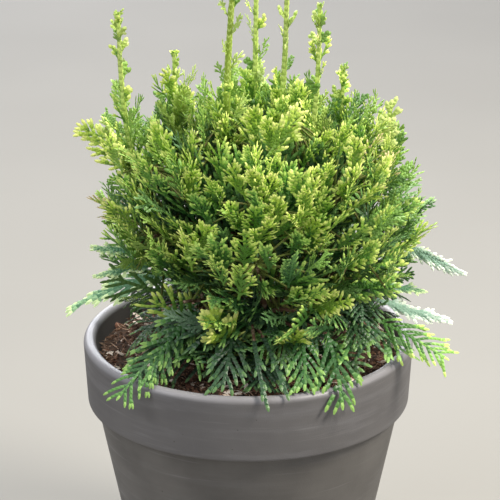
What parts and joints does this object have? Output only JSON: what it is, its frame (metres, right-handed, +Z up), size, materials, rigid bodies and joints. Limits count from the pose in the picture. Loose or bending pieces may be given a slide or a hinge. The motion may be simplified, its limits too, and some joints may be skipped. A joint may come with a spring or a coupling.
{
  "type": "potted conifer",
  "caption": "Young globe conifer with upright leaders, flat sprays of scale leaves and an arching skirt, rooted in compost in a round clay pot with a banded rim.",
  "frame": {"origin": "centre of the pot's flat underside", "axes": "+Z up along the pot's axis, -Y the plant's front, +X to its right seen from the front"},
  "size_m": [0.2755, 0.238, 0.4781],
  "materials": {
    "pot_clay": "unglazed grey-stained clay, wiped, fine pitted",
    "compost": "dark moist fibrous compost with bark chips",
    "bark": "thin fibrous red-brown bark in long strips",
    "green_stem": "yellow-green stem clothed in pressed pointed scale leaves",
    "foliage": "mid green overlapping scale leaves in flat sprays",
    "foliage_young": "bright yellow-green young sprays",
    "foliage_shaded": "blue-green shaded sprays with pale undersides"
  },
  "bodies": {
    "root": {"pot": "pot_clay", "compost": "compost", "trunk": "bark", "leader_back": "green_stem", "leader_left_back": "green_stem", "leader_left_outer": "green_stem", "leader_right_inner": "green_stem", "leader_right_middle": "green_stem", "leader_right_outer": "green_stem", "bough_1": "bark", "bough_2": "bark", "bough_3": "bark", "bough_4": "bark", "bough_5": "bark", "bough_6": "bark", "bough_7": "bark", "bough_8": "bark", "foliage_crest_01": "foliage_young", "foliage_crest_02": "foliage_young", "foliage_crest_03": "foliage_young", "foliage_lower_01": "foliage", "foliage_lower_02": "foliage", "foliage_lower_03": "foliage", "foliage_lower_04": "foliage", "foliage_lower_05": "foliage", "foliage_lower_06": "foliage", "foliage_lower_07": "foliage", "foliage_middle_01": "foliage", "foliage_middle_02": "foliage", "foliage_middle_03": "foliage", "foliage_middle_04": "foliage", "foliage_middle_05": "foliage", "foliage_middle_06": "foliage", "foliage_middle_07": "foliage", "foliage_skirt_01": "foliage_shaded", "foliage_skirt_02": "foliage_shaded", "foliage_skirt_03": "foliage_shaded", "foliage_skirt_04": "foliage_shaded", "foliage_skirt_05": "foliage_shaded", "foliage_skirt_06": "foliage_shaded", "foliage_skirt_07": "foliage_shaded", "foliage_skirt_08": "foliage_shaded", "foliage_spray_front_left": "foliage", "foliage_spray_left_high": "foliage", "foliage_spray_left_long": "foliage", "foliage_spray_right_crown": "foliage", "foliage_spray_right_high": "foliage", "foliage_spray_right_low": "foliage", "foliage_tuft_back": "foliage_young", "foliage_tuft_left_back": "foliage_young", "foliage_tuft_left_outer": "foliage_young", "foliage_tuft_right_inner": "foliage_young", "foliage_tuft_right_middle": "foliage_young", "foliage_tuft_trunk": "foliage_young", "foliage_upper_01": "foliage_young", "foliage_upper_02": "foliage_young", "foliage_upper_03": "foliage_young", "foliage_upper_04": "foliage_young", "foliage_upper_05": "foliage_young", "foliage_upper_06": "foliage_young"}
  },
  "joints": []
}
